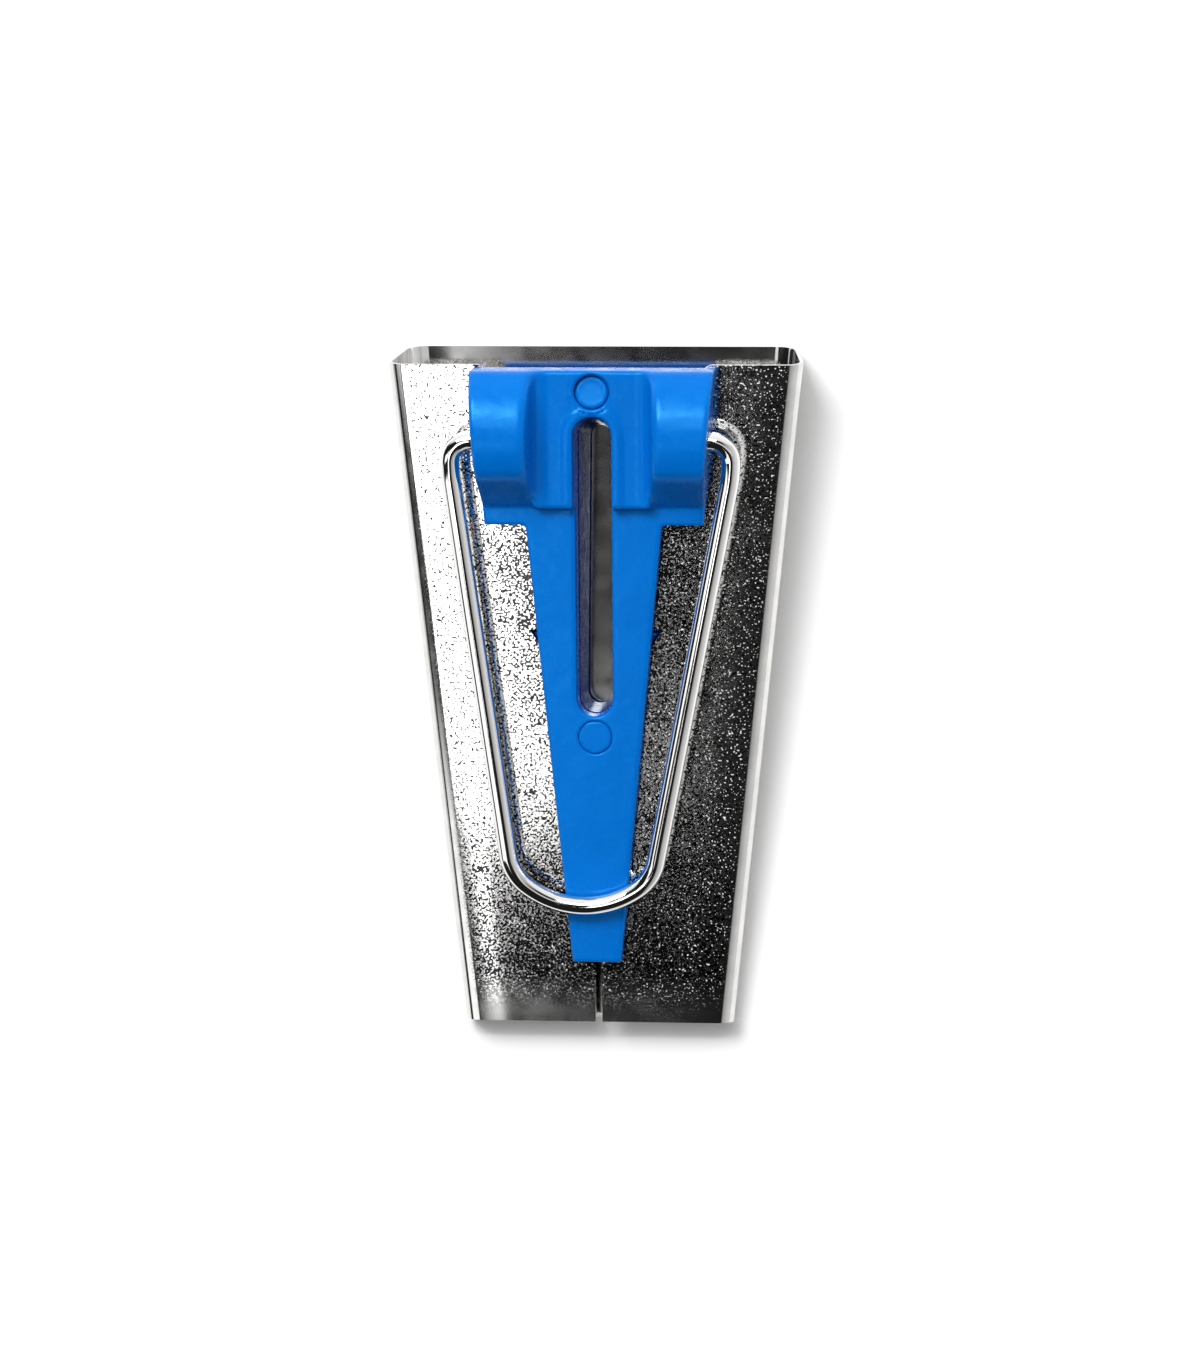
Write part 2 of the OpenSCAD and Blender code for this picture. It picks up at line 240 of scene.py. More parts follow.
def head_half(y):
    """Half the head's width at y. Its sides widen towards the rear."""
    return WING_HALF + (HEAD_REAR_HALF - WING_HALF) * (y - WING_FRONT) / (HEAD_REAR - WING_FRONT)


BOSS_CHORD = HEAD_REAR - HEAD_FRONT + BOSS_OVERRUN
BOSS_R = (BOSS_CHORD ** 2 / 4 + BOSS_RISE ** 2) / (2 * BOSS_RISE)
BOSS_MID = (HEAD_FRONT + HEAD_REAR) / 2
BOSS_TOP = HEAD_THICK + BOSS_RISE - CROWN_SPARE
SLOPE_TOP = BOSS_TOP - BOSS_R + math.sqrt(BOSS_R ** 2 - (BOSS_MID - HEAD_FRONT - BOSS_FRONT_RUN) ** 2)
PIVOT_ALONG, PIVOT_ABOVE = to_flaps(PIVOT_Y, PIVOT_Z)


def top_plate_field(x, y, z):
    edge = 0.3
    # Head: a plate, two humps and the slot's rim, all cut to the head's outline
    drum = np.hypot(y - BOSS_MID, z - (BOSS_TOP - BOSS_R)) - BOSS_R
    inner_face = BOSS_INNER - np.abs(x)
    upper = join(z - HEAD_THICK, both(drum, inner_face + BOSS_DRAFT * (z - HEAD_THICK), 0.9), 1.4)
    rise = SLOPE_TOP - TONGUE_THICK
    over_slope = rise * (y - HEAD_FRONT) - BOSS_FRONT_RUN * (z - TONGUE_THICK)
    upper = cut(upper, both(over_slope / math.hypot(rise, BOSS_FRONT_RUN), inner_face, 0.8), 0.5)
    rim_line = np.hypot(x, np.maximum(y - (SLOT_REAR - SLOT_HALF), 0))
    rim = both(rim_line - SLOT_HALF - RIM_WIDTH, z - HEAD_THICK - RIM_RISE, 0.2)
    upper = join(upper, rim, 0.2)
    outline = both(taper(x, y, HEAD_FRONT, head_half(HEAD_FRONT), HEAD_REAR, HEAD_REAR_HALF),
                   slab(y, HEAD_FRONT, HEAD_REAR), edge)
    head = both(both(upper, outline, 0.45), -z, edge)
    # Wings and tongue, one flat plate
    wings = both(taper(x, y, WING_FRONT, WING_HALF, HEAD_FRONT + 1, head_half(HEAD_FRONT + 1)),
                 slab(y, WING_FRONT, HEAD_FRONT + 0.3), 0.2)
    tongue = both(taper(x, y, TONGUE_END, TONGUE_TIP, WING_FRONT, TONGUE_ROOT),
                  slab(y, TONGUE_END, HEAD_FRONT + 0.3), 0.25)
    low = both(join(wings, tongue, 0.5), slab(z, 0, TONGUE_THICK), edge)
    body = join(low, head, 0.15)
    body = cut(body, slot_field(x, y, z), 0.3)
    from_rear = np.hypot(x, y - STUD_REAR)
    rear_hole = from_rear - STUD_R - REAR_HOLE_PLAY
    ring = both(np.abs(from_rear - STUD_R - RING_OUT) - RING_HALF, HEAD_THICK - RING_HALF - z, 0.05)
    body = cut(body, ring, 0.05)
    front_hole = np.hypot(x, y - STUD_FRONT) - STUD_R - FRONT_HOLE_PLAY
    body = cut(cut(body, rear_hole, 0.3), front_hole, 0.08)
    bore = np.maximum(np.hypot(y - PIVOT_ALONG, z - PIVOT_ABOVE) - BORE_R, BORE_END - np.abs(x))
    return cut(body, bore, 0.25)


def gap_half(y):
    """Half the gap between the flap edges, without the notches."""
    stations = [(-BASE_Y, SLIT_HALF), (SLIT_LENGTH - BASE_Y, SLIT_HALF),
                (SLIT_LENGTH - BASE_Y + END_GAP - SLIT_HALF, END_GAP), (WING_FRONT, FRONT_GAP),
                (FLARE_END, HEAD_GAP - 0.3), (FLAP_Y - TIP_R, HEAD_GAP)]
    ys, gaps = zip(*stations)
    return np.interp(y, ys, gaps)


def share_of(y):
    return (y + BASE_Y) / LENGTH


def between(narrow, wide, y):
    return narrow + (wide - narrow) * share_of(y)


def corner_centre(y):
    """How far out the lower corner's arc is centred at y, where the side wall meets the fold's arc."""
    lean, corner = between(NARROW_LEAN, WIDE_LEAN, y), between(NARROW_CORNER, WIDE_CORNER, y)
    rise = between(NARROW_HEIGHT, WIDE_HEIGHT, y) - FOLD_R - corner
    fold = between(NARROW_HALF, WIDE_HALF, y) - FOLD_R
    return fold - (rise * np.sin(lean) - (FOLD_R - corner)) / np.cos(lean)


def inner_guide_field(x, y, z):
    """On the flaps' plane, like the top plate. The foot is given in the row frame."""
    c, s = math.cos(SLOPE), math.sin(SLOPE)
    row_y, row_z = y * c - z * s, MIDDLE_Z + y * s + z * c
    foot_half = corner_centre(row_y) + 0.55 * between(NARROW_CORNER, WIDE_CORNER, row_y) - 0.7
    foot_sides = both(np.abs(x) - foot_half, slab(row_y, FOOT_FRONT, FOOT_REAR), 1.6)
    foot = both(foot_sides, both(FOOT_UNDER - row_z, z + SHEET + 0.9, 1.0), 1.2)
    web_side = np.abs(x) - gap_half(y) + 0.15
    web = both(both(web_side, slab(y, TONGUE_END + 0.3, WEB_REAR), 0.3), slab(z, -WEB_DEPTH, -0.01), 0.2)
    front = NOTCH_REAR - NOTCH_LENGTH
    base = gap_half(front)
    run, drop = NOTCH_TIP - base, NOTCH_LENGTH
    barb = (np.abs(x) - base - (y - front) * run / drop) / math.hypot(1, run / drop) + 0.18
    barb = both(barb, both(y - NOTCH_REAR + 0.15, front + 0.15 - y, 0.1), 0.15)
    barb = both(barb, slab(z, -0.9, -0.06), 0.15)
    from_rear = np.hypot(x, y - STUD_REAR)
    rear_rim = 0.06 * np.exp(-((from_rear - 1.3) / 0.15) ** 2)
    rear_face = HEAD_THICK - 0.4 - REAR_STUD_LEAN * (y - STUD_REAR) + rear_rim
    rear_stud = both(from_rear - STUD_R, both(z - rear_face, -1 - z), 0.15)
    front_stud = both(np.hypot(x, y - STUD_FRONT) - STUD_R, slab(z, -1, TONGUE_THICK - 0.03), 0.08)
    body = join(foot, web, 0.5)
    body = join(body, barb, 0.1)
    body = join(join(body, rear_stud), front_stud)
    return cut(body, slot_field(x, y, z, 0.02), 0.3)


# ---------------------------------------------------------------------------
# Shell
# ---------------------------------------------------------------------------
def profile(y, gap, inset):
    """Right-hand cross-section line of the sheet at y, from the base to the flap's edge."""
    lean, corner = between(NARROW_LEAN, WIDE_LEAN, y), between(NARROW_CORNER, WIDE_CORNER, y)
    height = between(NARROW_HEIGHT, WIDE_HEIGHT, y)
    base_x = corner_centre(y)
    fold_x = between(NARROW_HALF, WIDE_HALF, y) - FOLD_R
    fold_z = height - FOLD_R - CROWN * CROWN_RUN / 2
    flat = np.linspace(0, 1, 8)[:-1] * base_x
    line = [(x, inset) for x in flat]
    for a in np.linspace(-math.pi / 2, -lean, 13):
        line.append((base_x + (corner - inset) * math.cos(a), corner + (corner - inset) * math.sin(a)))
    for a in np.linspace(-lean, math.pi / 2 - CROWN, 21):
        line.append((fold_x + (FOLD_R - inset) * math.cos(a), fold_z + (FOLD_R - inset) * math.sin(a)))
    flap_x = line[-1][0]
    for t in np.linspace(0, 1, 29)[1:] ** 1.4:
        across = (flap_x - gap) * t
        drop = CROWN / (2 * CROWN_RUN) * max(CROWN_RUN - across, 0) ** 2
        line.append((flap_x - across, height - inset - drop))
    return np.array(line)


def shell_stations():
    """Stations (y, half gap) along the shell, close together where the flap edges turn."""
    stations = []

    def run(y0, y1, count):
        for y in np.linspace(y0, y1, count, endpoint=False):
            stations.append((y, float(gap_half(y))))

    front = NOTCH_REAR - NOTCH_LENGTH
    run(-BASE_Y, SLIT_LENGTH - BASE_Y, 8)
    run(SLIT_LENGTH - BASE_Y, SLIT_LENGTH - BASE_Y + END_GAP - SLIT_HALF, 5)
    run(SLIT_LENGTH - BASE_Y + END_GAP - SLIT_HALF, front, 26)
    for t in np.linspace(0, 1, 7):
        stations.append((front + NOTCH_LENGTH * t, gap_half(front) + (NOTCH_TIP - gap_half(front)) * t))
    stations.append((NOTCH_REAR + 0.04, NOTCH_TIP - 0.35))
    run(NOTCH_REAR + 0.08, WING_FRONT, 10)
    run(WING_FRONT, FLARE_END, 4)
    run(FLARE_END, FLAP_Y - TIP_R, 12)
    for a in np.linspace(0, math.pi / 2, 9):
        stations.append((FLAP_Y - TIP_R + TIP_R * math.sin(a), HEAD_GAP + TIP_R * (1 - math.cos(a))))
    return stations


def build_shell(material):
    """Rings of the sheet's outline at each station, with rounded flap edges and a cap at each end."""
    stations = shell_stations()
    rounds = 3
    edge_bulge = 0.07
    rings = []
    last = len(stations) - 1

    def mirrored(line):
        left = line[::-1] * [-1, 1]
        return np.concatenate([left[:-1], line])

    def eased(start, end, a):
        return start + (end - start) * (1 - math.cos(a)) / 2

    def line_at(s, inset):
        y, gap = stations[s]
        line = mirrored(profile(y, gap, inset))
        ys = np.full(len(line), y)
        if y > FLAP_Y - TIP_R:
            share = (y - (FLAP_Y - TIP_R)) / TIP_R
            ys = y + LIP * (1 - line[:, 1] / between(NARROW_HEIGHT, WIDE_HEIGHT, y)) * share
            line = np.array([mirrored(profile(v, gap, inset))[i] for i, v in enumerate(ys)])
        return np.column_stack([line[:, 0], ys, line[:, 1]])

    turns = np.linspace(0, math.pi, rounds + 2)[1:-1]
    for s in range(len(stations)):
        outer, inner = line_at(s, 0.0), line_at(s, SHEET)
        right = [eased(outer[-1], inner[-1], a) - [edge_bulge * math.sin(a), 0, 0] for a in turns]
        left = [eased(inner[0], outer[0], a) + [edge_bulge * math.sin(a), 0, 0] for a in turns]
        rings.append(np.concatenate([outer, right, inner[::-1], left]))
    count = len(rings[0])
    across = (count - 2 * rounds) // 2
    points = list(np.concatenate(rings))
    faces = []
    for s in range(last):
        a, b = s * count, (s + 1) * count
        for i in range(count):
            j = (i + 1) % count
            faces.append((a + i, a + j, b + j, b + i))
    for s in (0, last):
        start = s * count
        rows = [[start + i for i in range(across)]]
        for k, a in enumerate(turns):
            row = []
            for i in range(across):
                if i == 0:
                    row.append(start + count - 1 - k)
                elif i == across - 1:
                    row.append(start + across + k)
                else:
                    points.append(eased(points[start + i], points[start + 2 * across + rounds - 1 - i], a))
                    row.append(len(points) - 1)
            rows.append(row)
        rows.append([start + 2 * across + rounds - 1 - i for i in range(across)])
        for r in range(len(rows) - 1):
            for i in range(across - 1):
                quad = (rows[r][i], rows[r][i + 1], rows[r + 1][i + 1], rows[r + 1][i])
                faces.append(quad if s == 0 else quad[::-1])
    return make_object("tape_channel", points, faces, material, math.radians(35))


# ---------------------------------------------------------------------------
# Handle
# ---------------------------------------------------------------------------
REACH, SHOULDER_HALF, TOE_HALF = 45.3, 13.3, 6.8
DROP, SKEW = math.radians(7.2), math.radians(1.7)
SHOULDER_BEND, LEG_BEND, TOE_CORNER_BEND, TOE_BEND = 2.0, 14.0, 4.5, 8.9
TOE_SLOPE, LEG_START = math.radians(34), 3.2


def skewed(x, y):
    """The handle hangs a little askew from its shoulders."""
    return np.array([x * math.cos(SKEW) + y * math.sin(SKEW), y * math.cos(SKEW) - x * math.sin(SKEW)])


def handle_path():
    """Corners of the handle's flat path, from one pin's end round to the other, and the bend at each."""
    vertex = REACH + TOE_BEND * (1 / math.cos(TOE_SLOPE) - 1)
    corner = vertex - TOE_HALF * math.tan(TOE_SLOPE)

    def side(sign):
        return [np.array([sign * PIN_END, 0.0]), np.array([sign * SHOULDER_HALF, 0.0]),
                np.array([sign * SHOULDER_HALF, -LEG_START]), skewed(sign * TOE_HALF, -corner)]

    bends = [0, SHOULDER_BEND, LEG_BEND, TOE_CORNER_BEND]
    return side(-1) + [skewed(0, -vertex)] + side(1)[::-1], bends + [TOE_BEND] + bends[::-1]


def bent_line(path, bends, spacing):
    """Points, about spacing apart, along a flat path with its corners rounded to the bends."""
    points = [path[0]]

    def straight(end):
        start = points[-1]
        steps = max(1, int(np.linalg.norm(end - start) / spacing))
        points.extend(start + (end - start) * (k + 1) / steps for k in range(steps))

    for i in range(1, len(path) - 1):
        along = path[i] - path[i - 1]
        along = along / np.linalg.norm(along)
        after = path[i + 1] - path[i]
        after = after / np.linalg.norm(after)
        turn = math.acos(float(np.clip(along @ after, -1, 1)))
        radius = bends[i]
        start = path[i] - along * radius * math.tan(turn / 2)
        straight(start)
        side = np.array([-along[1], along[0]])
        steps = max(4, int(radius * turn / (spacing * 0.6)))
        for k in range(1, steps + 1):
            a = turn * k / steps
            points.append(start + radius * (along * math.sin(a) + side * (1 - math.cos(a))))
    straight(path[-1])
    return np.array(points)


def build_handle(material):
    path, bends = handle_path()
    line = bent_line(path, bends, 0.5)
    sides = 40
    along = np.gradient(line, axis=0)
    along /= np.linalg.norm(along, axis=1)[:, None]
    radii = np.where(np.abs(line[:, 0]) < SHOULDER_HALF - SHOULDER_BEND - 0.45, PIN_R, WIRE_R)
    radii = np.where(line[:, 1] < -0.5, WIRE_R, radii)
    # Domed ends
    ends = [(0.0, PIN_R - 0.22), (0.1, PIN_R - 0.06), (0.25, PIN_R)]
    line = np.concatenate([[line[0] + along[0] * d for d, _ in ends], line[1:-1],
                           [line[-1] - along[-1] * d for d, _ in ends[::-1]]])
    radii = np.concatenate([[r for _, r in ends], radii[1:-1], [r for _, r in ends[::-1]]])
    along = np.concatenate([[along[0]] * 3, along[1:-1], [along[-1]] * 3])
    c, s = math.cos(DROP), math.sin(DROP)
    points, faces = [], []
    for (px, py), (ax, ay), r in zip(line, along, radii):
        for k in range(sides):
            a = 2 * math.pi * k / sides
            x, y, z = px + r * math.cos(a) * ay, py - r * math.cos(a) * ax, r * math.sin(a)
            points.append((x, PIVOT_Y + y * c - z * s, PIVOT_Z + y * s + z * c))
    last = len(line) - 1
    for i in range(last):
        for k in range(sides):
            n = (k + 1) % sides
            faces.append((i * sides + k, (i + 1) * sides + k, (i + 1) * sides + n, i * sides + n))
    faces.append([k for k in range(sides - 1, -1, -1)])
    faces.append([last * sides + k for k in range(sides)])
    return make_object("pull_handle", points, faces, material, math.radians(50))


# ---------------------------------------------------------------------------
# Materials
# ---------------------------------------------------------------------------
def new_material(name):
    material = bpy.data.materials.new(name)
    material.use_nodes = True
    nodes = material.node_tree.nodes
    return material, nodes, material.node_tree.links, nodes["Principled BSDF"]


def noise(nodes, links, place, scale, detail=2.0, rough=0.5):
    node = nodes.new("ShaderNodeTexNoise")
    node.inputs["Scale"].default_value = scale
    node.inputs["Detail"].default_value = detail
    node.inputs["Roughness"].default_value = rough
    links.new(place, node.inputs["Vector"])
    return node.outputs["Fac"]


def ranged(nodes, links, value, low, high, out_low, out_high):
    node = nodes.new("ShaderNodeMapRange")
    node.inputs["From Min"].default_value = low
    node.inputs["From Max"].default_value = high
    node.inputs["To Min"].default_value = out_low
    node.inputs["To Max"].default_value = out_high
    links.new(value, node.inputs["Value"])
    return node.outputs["Result"]


def coordinates(nodes):
    return nodes.new("ShaderNodeTexCoord").outputs["Object"]


def feed(links, value, socket):
    """Gives an input a constant or another node's output."""
    if isinstance(value, (int, float, tuple)):
        socket.default_value = value
    else:
        links.new(value, socket)


def bump(nodes, links, height, strength, distance, after=None):
    node = nodes.new("ShaderNodeBump")
    feed(links, strength, node.inputs["Strength"])
    node.inputs["Distance"].default_value = distance
    links.new(height, node.inputs["Height"])
    if after is not None:
        links.new(after, node.inputs["Normal"])
    return node.outputs["Normal"]


def maths(nodes, links, kind, a, b):
    """A maths node on two values, each a socket or a number."""
    node = nodes.new("ShaderNodeMath")
    node.operation = kind
    feed(links, a, node.inputs[0])
    feed(links, b, node.inputs[1])
    return node.outputs["Value"]


def clamped(nodes, links, value):
    return ranged(nodes, links, value, 0.0, 1.0, 0.0, 1.0)


def mixed(nodes, links, share, a, b):
    """A colour between a and b, each a socket or a constant."""
    node = nodes.new("ShaderNodeMix")
    node.data_type = "RGBA"
    links.new(share, node.inputs["Factor"])
    feed(links, a, node.inputs["A"])
    feed(links, b, node.inputs["B"])
    return node.outputs["Result"]


def grained_nickel():
    """Bright plate on the sheet, with finely pebbled flaps, and painted dark shade specks and pale
    highlight specks on their grain.
    """
    material, nodes, links, shader = new_material("grained_nickel")
    place = coordinates(nodes)
    clouds = noise(nodes, links, place, 500, 3.0)
    plate_colour = mixed(nodes, links, ranged(nodes, links, clouds, 0.3, 0.7, 0.0, 1.0),
                         (0.82, 0.81, 0.79, 1), (0.70, 0.70, 0.69, 1))

    # The grain fades out at the folds, at the exit's edge, on the base and inside
    split = nodes.new("ShaderNodeSeparateXYZ")
    links.new(place, split.inputs["Vector"])
    x, y, z = (split.outputs[k] for k in "XYZ")
    spread = (WIDE_HALF - NARROW_HALF) / LENGTH
    middle_half = (WIDE_HALF + NARROW_HALF) / 2 * MM
    half = maths(nodes, links, "ADD", maths(nodes, links, "MULTIPLY", y, spread), middle_half)
    from_side = maths(nodes, links, "SUBTRACT", half, maths(nodes, links, "ABSOLUTE", x, 0.0))
    grained = ranged(nodes, links, from_side, 0.0011, 0.0018, 0.0, 1.0)
    above = ranged(nodes, links, z, 0.0022, 0.0027, 0.0, 1.0)
    past_exit = ranged(nodes, links, y, (1.0 - BASE_Y) * MM, (4.5 - BASE_Y) * MM, 0.0, 1.0)
    amount = maths(nodes, links, "MULTIPLY", maths(nodes, links, "MULTIPLY", grained, above), past_exit)
    pebbles = noise(nodes, links, place, 3000, 1.0)
    links.new(bump(nodes, links, pebbles, amount, 0.0000025), shader.inputs["Normal"])

    # Painted shade: dark specks in the base colour stand in for the grain's shaded pits and dark
    # reflections, crowding towards the flaps' inner edges and the exit
    across = maths(nodes, links, "ABSOLUTE", x, 0.0)
    inner = maths(nodes, links, "MULTIPLY", ranged(nodes, links, across, 0.0060, 0.0130, 0.22, 0.0),
                  ranged(nodes, links, y, -0.006, 0.012, 0.3, 1.0))
    shade_specks_near_exit = ranged(nodes, links, y, -0.027, -0.010, 0.15, 0.01)
    everywhere, steepness = 0.37, 25.0
    shade_speck_share = maths(nodes, links, "ADD", maths(nodes, links, "ADD", inner, shade_specks_near_exit), everywhere)
    under = maths(nodes, links, "SUBTRACT", shade_speck_share, noise(nodes, links, place, 4800, 0.0))
    depth = maths(nodes, links, "MULTIPLY", under, steepness)
    painted_shade_specks = maths(nodes, links, "MULTIPLY", clamped(nodes, links, depth), amount)

    # Painted highlights: a few pale specks in the base colour stand between the dark ones for the grain's
    # glints; they are also duller and less metallic
    highlight_speck_peaks = ranged(nodes, links, noise(nodes, links, place, 5600, 0.0), 0.69, 0.74, 0.0, 0.9)
    painted_highlight_and_matte_specks = maths(nodes, links, "MULTIPLY", highlight_speck_peaks, amount)
    # Painted highlight: the pale specks are mixed into the base colour here
    colour = mixed(nodes, links, painted_highlight_and_matte_specks, plate_colour, (0.9, 0.9, 0.9, 1))
    # Painted shade: the near-black specks are mixed into the base colour here
    links.new(mixed(nodes, links, painted_shade_specks, colour, (0.03, 0.03, 0.032, 1)), shader.inputs["Base Color"])
    links.new(ranged(nodes, links, painted_highlight_and_matte_specks, 0.0, 1.0, 1.0, 0.25), shader.inputs["Metallic"])
    smooth = ranged(nodes, links, clouds, 0.3, 0.7, 0.07, 0.11)
    links.new(maths(nodes, links, "ADD", smooth, maths(nodes, links, "MULTIPLY", painted_highlight_and_matte_specks, 0.4)),
              shader.inputs["Roughness"])
    return material


def moulded_blue(name, colour, deep, painted_shade_colour=None):
    """Glossy moulded plastic with soft scuffs. If a painted shade colour is given, everything below the
    flaps' plane is painted in it, as shade inside the channel.
    """
    material, nodes, links, shader = new_material(name)
    place = coordinates(nodes)
    clouds = ranged(nodes, links, noise(nodes, links, place, 160, 3.0), 0.35, 0.75, 0.0, 0.6)
    base = mixed(nodes, links, clouds, (*colour, 1), (*deep, 1))
    if painted_shade_colour is not None:
        # Painted shade: below the flaps' plane the blue is painted dark, as the shade inside the channel
        split = nodes.new("ShaderNodeSeparateXYZ")
        links.new(place, split.inputs["Vector"])
        rise = maths(nodes, links, "MULTIPLY", split.outputs["Y"], math.tan(SLOPE))
        plane = maths(nodes, links, "ADD", rise, MIDDLE_Z * MM)
        above = maths(nodes, links, "SUBTRACT", split.outputs["Z"], plane)
        out_of_painted_shade = ranged(nodes, links, above, 0.0002, 0.0008, 0.0, 1.0)
        base = mixed(nodes, links, out_of_painted_shade, (*painted_shade_colour, 1), base)
    links.new(base, shader.inputs["Base Color"])
    shader.inputs["IOR"].default_value = 1.5
    shader.inputs["Specular Tint"].default_value = (0.1, 0.6, 1.0, 1)
    scuffs = noise(nodes, links, place, 700, 4.0, 0.6)
    links.new(ranged(nodes, links, scuffs, 0.35, 0.7, 0.17, 0.36), shader.inputs["Roughness"])
    skin = bump(nodes, links, noise(nodes, links, place, 1500, 3.0), 0.5, 0.00002)
    wave = bump(nodes, links, noise(nodes, links, place, 260, 2.0), 0.6, 0.00008, skin)
    links.new(wave, shader.inputs["Normal"])
    return material


def bright_wire():
    material, nodes, links, shader = new_material("bright_wire")
    place = coordinates(nodes)
    shader.inputs["Metallic"].default_value = 1.0
    shader.inputs["Base Color"].default_value = (0.86, 0.85, 0.84, 1)
    links.new(ranged(nodes, links, noise(nodes, links, place, 1200, 4.0, 0.6), 0.4, 0.75, 0.03, 0.08),
              shader.inputs["Roughness"])
    return material


def pale_floor():
    material, nodes, links, shader = new_material("pale_floor")
    shader.inputs["Base Color"].default_value = (0.94, 0.94, 0.94, 1)
    shader.inputs["Roughness"].default_value = 0.9
    return material


# ---------------------------------------------------------------------------
# Pieces
# ---------------------------------------------------------------------------
# The third blue is painted shade, for the guide's foot below the flaps
BLUE, DEEP_BLUE, PAINTED_SHADE_BLUE = (0.0, 0.14, 0.56), (0.0, 0.12, 0.50), (0.0, 0.04, 0.26)
FINE, COARSE = ((0.18, 0.26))

nickel = grained_nickel()
blue = moulded_blue("moulded_blue", BLUE, DEEP_BLUE)
inner_blue_with_painted_shade = moulded_blue("moulded_blue_inner_painted_shade", BLUE, DEEP_BLUE, PAINTED_SHADE_BLUE)
chrome = bright_wire()

channel = build_shell(nickel)
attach(channel, "tool")
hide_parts("shell")

points, quads = surface_net(top_plate_field, (-12.4, -27.2, -0.6), (12.4, 32.0, 7.6), FINE)
plate = make_object("guide_top", from_flaps(points), quads, blue, None)
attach(plate, "tool")
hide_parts("top_plate")

points, quads = surface_net(inner_guide_field, (-17.6, -27.2, -8.4), (17.6, 31.5, 3.4), COARSE)
guide = make_object("guide_foot", from_flaps(points), quads, inner_blue_with_painted_shade, None)
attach(guide, "tool")
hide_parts("inner_guide")

wire = build_handle(chrome)
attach(wire, "handle")
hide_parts("handle")


# ---------------------------------------------------------------------------
# Studio: floor, lights, surroundings and camera
# ---------------------------------------------------------------------------
def build_floor():
    r = 3.0
    mesh = bpy.data.meshes.new("floor")
    mesh.from_pydata([(-r, -r, 0), (r, -r, 0), (r, r, 0), (-r, r, 0)], [], [(0, 1, 2, 3)])
    mesh.materials.append(pale_floor())
    floor = bpy.data.objects.new("floor", mesh)
    floor.location.z = -0.00002
    bpy.context.scene.collection.objects.link(floor)


def softbox(name, place, size, radiance):
    """A rectangular light that shows that radiance and faces the origin."""
    light = bpy.data.lights.new(name, "AREA")
    light.shape = "RECTANGLE"
    light.size, light.size_y = size
    light.energy = radiance * math.pi * size[0] * size[1]
    obj = bpy.data.objects.new(name, light)
    obj.location = place
    obj.rotation_euler = (-obj.location).to_track_quat("-Z", "Y").to_euler()
    bpy.context.scene.collection.objects.link(obj)
    return obj


def overhead(name, low, high, radiance):
    """A panel facing down, one metre up, that fills low to high in plan."""
    size = (high[0] - low[0], high[1] - low[1])
    place = ((low[0] + high[0]) / 2, (low[1] + high[1]) / 2, 1.0)
    softbox(name, place, size, radiance).rotation_euler = (0, 0, 0)


def build_lights():
    softbox("key", (-0.42, 0.68, 0.95), (0.55, 0.45), 14.0)
    overhead("panel", (-0.40, -0.24), (-0.107, -0.11), 3.5)
    overhead("panel_low", (-0.26, -0.32), (-0.103, -0.24), 3.0)
    overhead("panel_end", (-0.18, -0.38), (-0.14, -0.32), 2.5)
    overhead("panel_grey", (-0.36, -0.09), (-0.127, 0.12), 0.9)
    overhead("panel_rear", (-0.30, 0.20), (0.10, 0.46), 4.0)
    overhead("panel_streak", (-0.40, 0.54), (0.20, 0.61), 18.0)


def world_ramp(nodes, links, value, stops):
    """A ramp over a direction's part from -1 to 1, given as (part, grey) stops."""
    ramp = nodes.new("ShaderNodeValToRGB")
    elements = ramp.color_ramp.elements
    for i, (part, grey) in enumerate(stops):
        element = elements[i] if i < 2 else elements.new(1.0)
        element.position = (part + 1) / 2
        element.color = (grey, grey, grey, 1)
    links.new(ranged(nodes, links, value, -1, 1, 0, 1), ramp.inputs["Fac"])
    return ramp.outputs["Color"]


def blend(nodes, links, kind, a, b):
    node = nodes.new("ShaderNodeMix")
    node.data_type = "RGBA"
    node.blend_type = kind
    node.inputs["Factor"].default_value = 1.0
    links.new(a, node.inputs["A"])
    links.new(b, node.inputs["B"])
    return node.outputs["Result"]


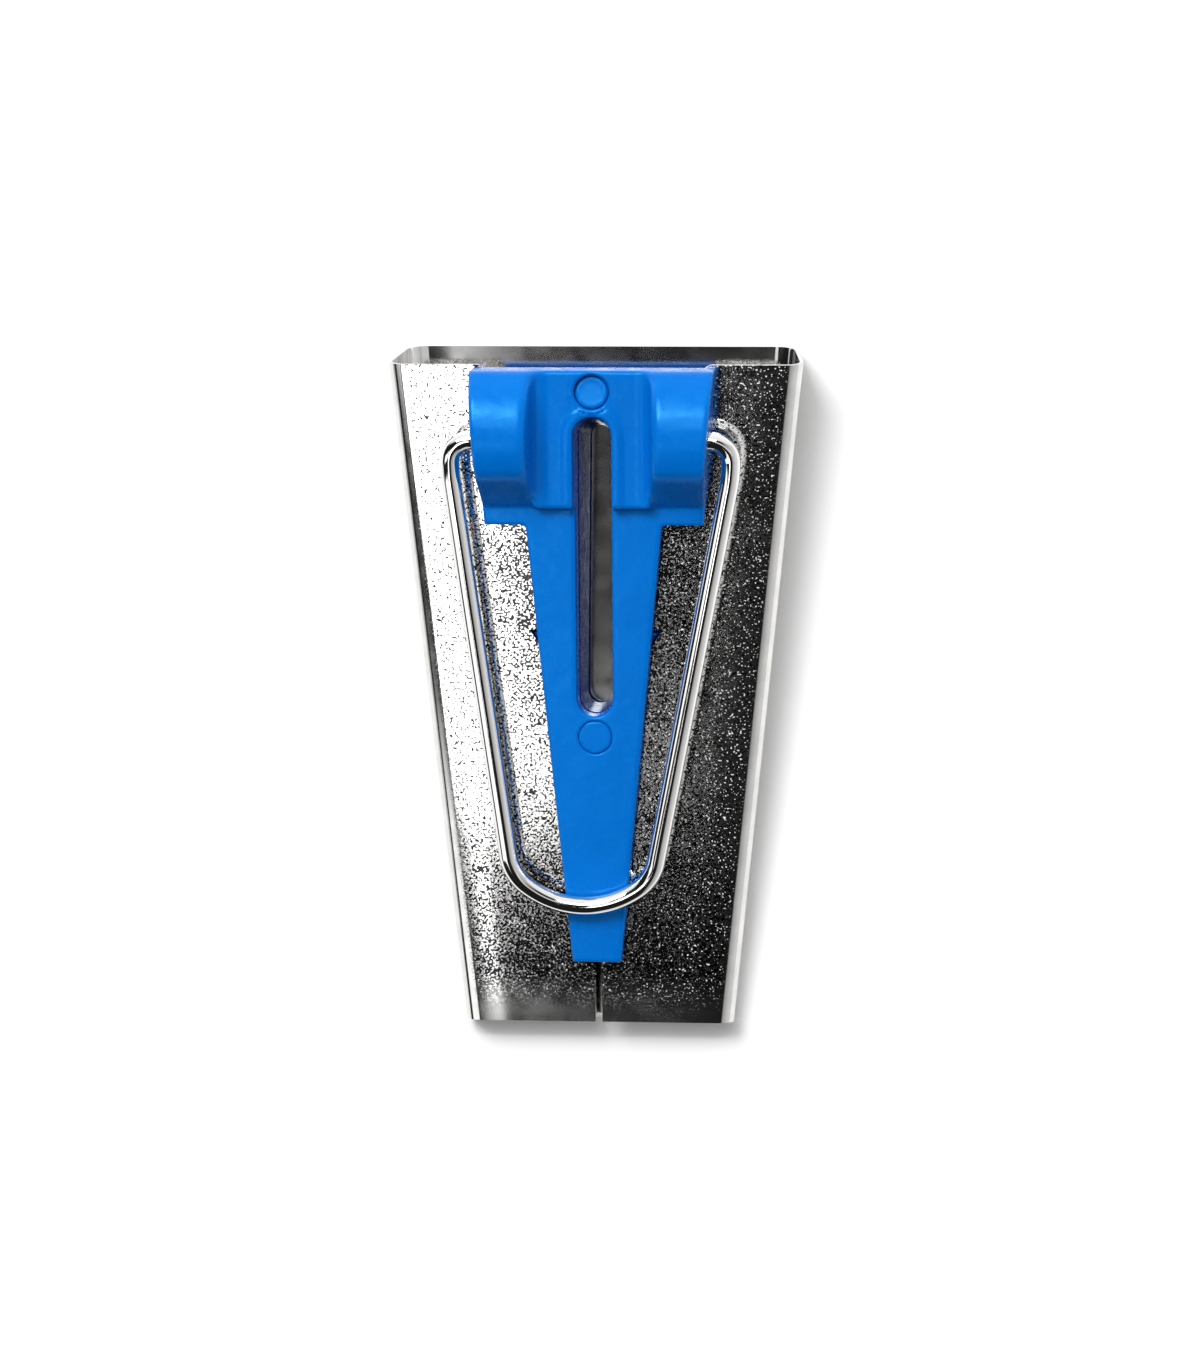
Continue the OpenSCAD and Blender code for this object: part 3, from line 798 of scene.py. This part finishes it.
def build_world():
    """A dark room with a pale horizon, a pale rear, a grey right side and two bright strips to the left."""
    world = bpy.data.worlds.new("studio")
    bpy.context.scene.world = world
    world.use_nodes = True
    nodes, links = world.node_tree.nodes, world.node_tree.links
    background = nodes["Background"]
    split = nodes.new("ShaderNodeSeparateXYZ")
    links.new(nodes.new("ShaderNodeTexCoord").outputs["Generated"], split.inputs["Vector"])
    x, y, z = (split.outputs[k] for k in "XYZ")

    def ramp(value, stops):
        return world_ramp(nodes, links, value, stops)

    def patch(x_stops, y_stops):
        return blend(nodes, links, "MULTIPLY", ramp(x, x_stops), ramp(y, y_stops))

    low = ramp(z, [(0.04, 0.70), (0.08, 0.012)])
    side = blend(nodes, links, "LIGHTEN", ramp(x, [(-0.05, 0.0), (0.05, 1.0)]),
                 ramp(y, [(-0.33, 0.0), (-0.31, 1.0), (-0.21, 1.0), (-0.19, 0.0)]))
    horizon = blend(nodes, links, "MULTIPLY", ramp(z, [(0.18, 0.70), (0.27, 0.0)]), side)
    rear = ramp(y, [(0.40, 0.0), (0.55, 0.9), (1.0, 1.1)])
    far_right = ramp(x, [(0.30, 0.0), (0.42, 0.36), (0.7, 0.55), (1.0, 0.8)])
    strip = patch([(-0.87, 0.0), (-0.83, 1.3), (-0.28, 1.3), (-0.24, 0.0)],
                  [(-0.45, 0.0), (-0.43, 1.0), (-0.32, 1.0), (-0.30, 0.0)])
    strip_high = patch([(-0.84, 0.0), (-0.80, 1.3), (-0.48, 1.3), (-0.45, 0.0)],
                       [(-0.24, 0.0), (-0.22, 1.0), (-0.05, 1.0), (-0.02, 0.0)])
    right_patch = patch([(-0.03, 0.0), (0.02, 0.7), (0.60, 0.7), (0.65, 0.0)],
                        [(-0.09, 0.0), (-0.07, 1.0), (0.12, 1.0), (0.14, 0.0)])
    total = horizon
    for part in (low, rear, far_right, strip, strip_high, right_patch):
        total = blend(nodes, links, "LIGHTEN", total, part)
    links.new(total, background.inputs["Color"])
    background.inputs["Strength"].default_value = 1.0


def build_camera():
    distance = 0.473
    data = bpy.data.cameras.new("camera")
    camera = bpy.data.objects.new("camera", data)
    bpy.context.scene.collection.objects.link(camera)
    data.sensor_fit = "HORIZONTAL"
    data.sensor_width = 36
    view_width = 0.1155
    data.lens = 36 * distance / view_width
    data.clip_start = 0.01
    centre = Vector((-0.0002, 0.0003, 0.0))
    camera.location = centre + Vector((0.043, 0.045, distance))
    back = (camera.location - centre).normalized()
    right = Vector((0, 1, 0)).cross(back).normalized()
    camera.rotation_euler = Matrix((right, back.cross(right), back)).transposed().to_euler()
    bpy.context.scene.camera = camera
    return camera


build_floor()
build_lights()
build_world()
build_camera()
bpy.context.scene.view_settings.view_transform = "Standard"
